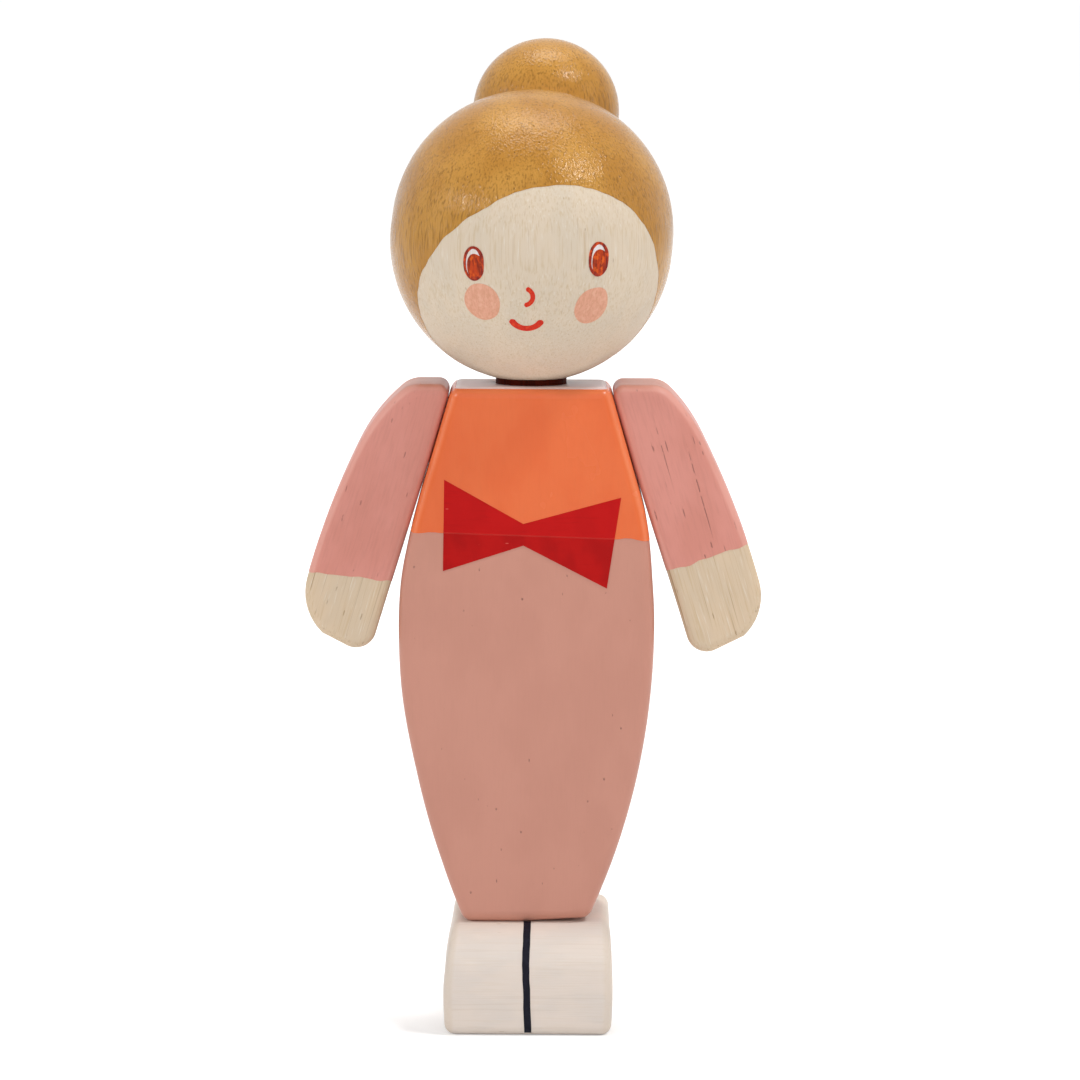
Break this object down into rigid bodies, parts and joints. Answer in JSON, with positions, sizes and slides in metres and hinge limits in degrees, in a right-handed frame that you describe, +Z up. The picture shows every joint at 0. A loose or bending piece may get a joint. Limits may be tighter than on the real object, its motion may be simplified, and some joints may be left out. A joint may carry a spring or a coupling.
{
  "type": "peg doll",
  "caption": "Standing wooden doll with a turned head and bun on a neck dowel, a flat oval body, swinging plank arms and a block for its feet.",
  "frame": {"origin": "on the floor under the feet, straight below the middle of the neck", "axes": "+Z up along the neck, -Y the way the doll looks, +X its left"},
  "size_m": [0.0486, 0.037, 0.1072],
  "materials": {
    "whitewashed_wood": "thin whitewash over open grain, matt",
    "body_paint": "satin paint, dusty rose below the waist and orange above it, with a red bow",
    "head_paint": "satin honey paint for the hair, thin whitewash for the face",
    "sleeve_paint": "satin pink paint with whitewashed hands",
    "dark_dowel": "dark brown stain, satin",
    "bare_dowel": "bare wood, sanded"
  },
  "bodies": {
    "trunk": {"foot_block": "whitewashed_wood", "left_foot_dowel": "bare_dowel", "right_foot_dowel": "bare_dowel", "body": "body_paint", "neck_dowel": "dark_dowel"},
    "turned_head": {"head": "head_paint"},
    "left_arm_unit": {"left_arm": "sleeve_paint", "left_arm_pin": "bare_dowel"},
    "right_arm_unit": {"right_arm": "sleeve_paint", "right_arm_pin": "bare_dowel"}
  },
  "joints": [
    {"name": "head_turn", "type": "hinge", "parent": "trunk", "child": "turned_head", "pos_m": [0, 0, 0.0702], "axis": [0, 0, 1], "continuous": true},
    {"name": "left_arm_swing", "type": "hinge", "parent": "trunk", "child": "left_arm_unit", "pos_m": [0.01046, 0, 0.06348], "axis": [-0.9601, 0, -0.2797], "range_deg": [-120, 120]},
    {"name": "right_arm_swing", "type": "hinge", "parent": "trunk", "child": "right_arm_unit", "pos_m": [-0.01046, 0, 0.06348], "axis": [-0.9601, 0, 0.2797], "range_deg": [-120, 120]}
  ]
}
